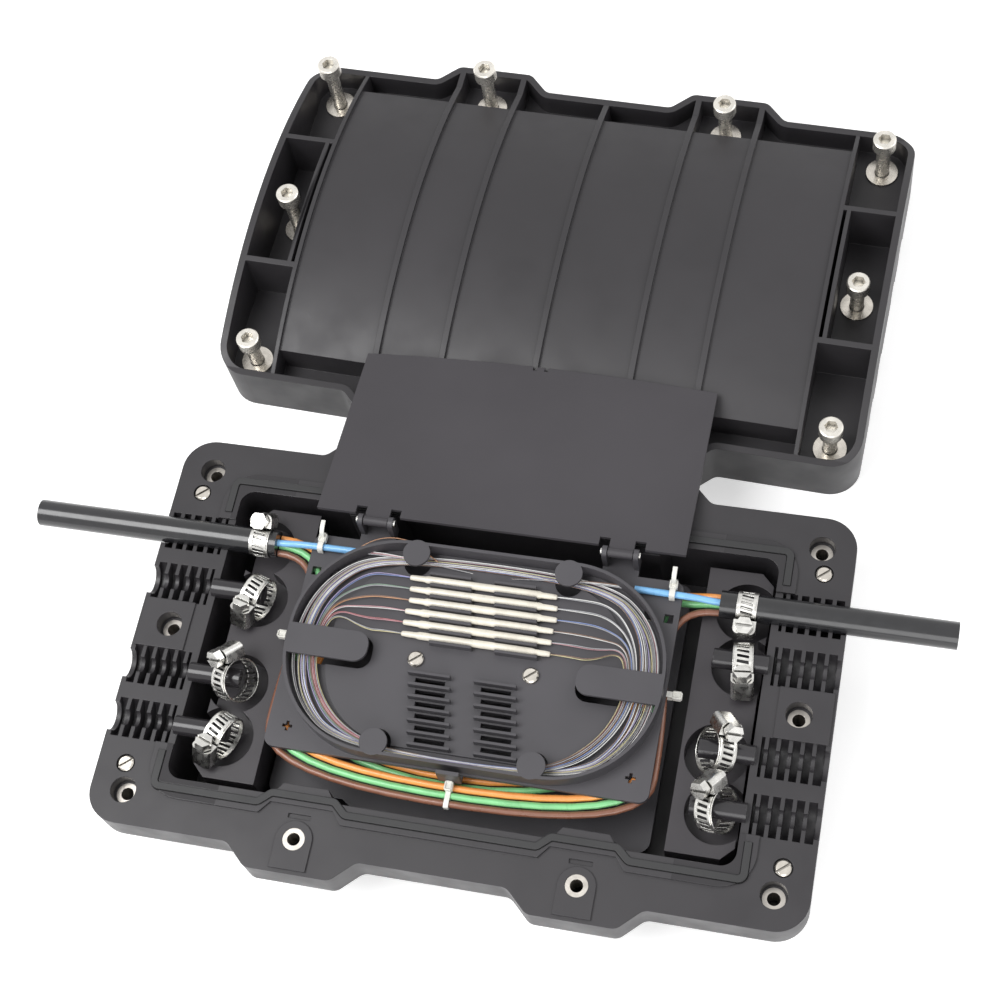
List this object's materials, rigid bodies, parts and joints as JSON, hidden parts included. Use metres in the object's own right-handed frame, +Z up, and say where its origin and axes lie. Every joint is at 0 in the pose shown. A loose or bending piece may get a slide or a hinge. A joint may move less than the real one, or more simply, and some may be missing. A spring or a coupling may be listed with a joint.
{
  "type": "horizontal fibre splice closure",
  "caption": "Opened horizontal splice closure: finned-port base with tub, hinged-lid tray with sleeves and fibres, worm-drive clamps, cables, and the ribbed cover behind it.",
  "frame": {"origin": "centre of the base's underside, on the surface that it and the cover lie on", "axes": "+Z up, +X along the cables to the right, +Y from the base to the cover behind it"},
  "size_m": [0.3775, 0.3882, 0.0546],
  "materials": {
    "shell_plastic": "semi-matte moulded",
    "tray_plastic": "semi-matte moulded",
    "lid_plastic": "matte sheet",
    "seal_rubber": "smooth",
    "steel": "bright",
    "zinc": "bright",
    "jacket": "glossy",
    "sleeve": "translucent white",
    "fibre": "fine strands",
    "blue": "smooth",
    "brown": "smooth",
    "green": "smooth",
    "orange": "smooth",
    "tie": "translucent white"
  },
  "bodies": {
    "closure": {"anchor_rail_left": "tray_plastic", "anchor_rail_right": "tray_plastic", "base_shell": "shell_plastic", "blue_tube_left": "blue", "blue_tube_right": "blue", "bracket_screws": "zinc", "brown_tube": "brown", "cable_left": "jacket", "cable_right": "jacket", "clamp_band_1": "steel", "clamp_band_2": "steel", "clamp_band_3": "steel", "clamp_band_4": "steel", "clamp_band_5": "steel", "clamp_band_6": "steel", "clamp_band_7": "steel", "clamp_band_8": "steel", "clamp_housing_1": "steel", "clamp_housing_2": "steel", "clamp_housing_3": "steel", "clamp_housing_4": "steel", "clamp_housing_5": "steel", "clamp_housing_6": "steel", "clamp_housing_7": "steel", "clamp_housing_8": "steel", "corner_screws": "zinc", "cover": "shell_plastic", "cover_bolts": "zinc", "cover_washers": "zinc", "fibre_coil": "fibre", "fibre_fan_left": "fibre", "fibre_fan_right": "fibre", "green_tube": "green", "hinge_pins": "steel", "orange_tube": "orange", "sealing_cords": "seal_rubber", "splice_sleeves": "sleeve", "splice_tray": "tray_plastic", "threaded_inserts": "zinc", "tray_bracket": "tray_plastic", "tray_screws": "zinc", "tube_ties": "tie"},
    "tray_lid": {"tray_lid": "lid_plastic"},
    "clamp_screw_1": {"clamp_screw_1": "steel"},
    "clamp_screw_2": {"clamp_screw_2": "steel"},
    "clamp_screw_3": {"clamp_screw_3": "steel"},
    "clamp_screw_4": {"clamp_screw_4": "steel"},
    "clamp_screw_5": {"clamp_screw_5": "steel"},
    "clamp_screw_6": {"clamp_screw_6": "steel"},
    "clamp_screw_7": {"clamp_screw_7": "steel"},
    "clamp_screw_8": {"clamp_screw_8": "steel"}
  },
  "joints": [
    {"name": "tray_lid_hinge", "type": "hinge", "parent": "closure", "child": "tray_lid", "pos_m": [0, 0.052, 0.051], "axis": [1, 0, 0], "range_deg": [0, 191]},
    {"name": "clamp_screw_1_turn", "type": "hinge", "parent": "closure", "child": "clamp_screw_1", "pos_m": [-0.098, 0.04908, 0.0443], "axis": [0, -0.4695, 0.8829], "continuous": true},
    {"name": "clamp_screw_2_turn", "type": "hinge", "parent": "closure", "child": "clamp_screw_2", "pos_m": [-0.09847, 0.00803, 0.04096], "axis": [0.1208, 0.4214, 0.8988], "continuous": true},
    {"name": "clamp_screw_3_turn", "type": "hinge", "parent": "closure", "child": "clamp_screw_3", "pos_m": [-0.09759, -0.01019, 0.04701], "axis": [-0.4649, -0.7068, 0.5332], "continuous": true},
    {"name": "clamp_screw_4_turn", "type": "hinge", "parent": "closure", "child": "clamp_screw_4", "pos_m": [-0.09869, -0.05114, 0.04096], "axis": [0.1499, 0.4119, 0.8988], "continuous": true},
    {"name": "clamp_screw_5_turn", "type": "hinge", "parent": "closure", "child": "clamp_screw_5", "pos_m": [0.1015, 0.03194, 0.03873], "axis": [0, -0.1392, 0.9903], "continuous": true},
    {"name": "clamp_screw_6_turn", "type": "hinge", "parent": "closure", "child": "clamp_screw_6", "pos_m": [0.10413, 0.00767, 0.04096], "axis": [-0.0458, 0.436, 0.8988], "continuous": true},
    {"name": "clamp_screw_7_turn", "type": "hinge", "parent": "closure", "child": "clamp_screw_7", "pos_m": [0.10095, -0.00956, 0.04666], "axis": [0.5013, -0.6532, 0.5675], "continuous": true},
    {"name": "clamp_screw_8_turn", "type": "hinge", "parent": "closure", "child": "clamp_screw_8", "pos_m": [0.09813, -0.0329, 0.04701], "axis": [-0.44, -0.7226, 0.5332], "continuous": true}
  ]
}
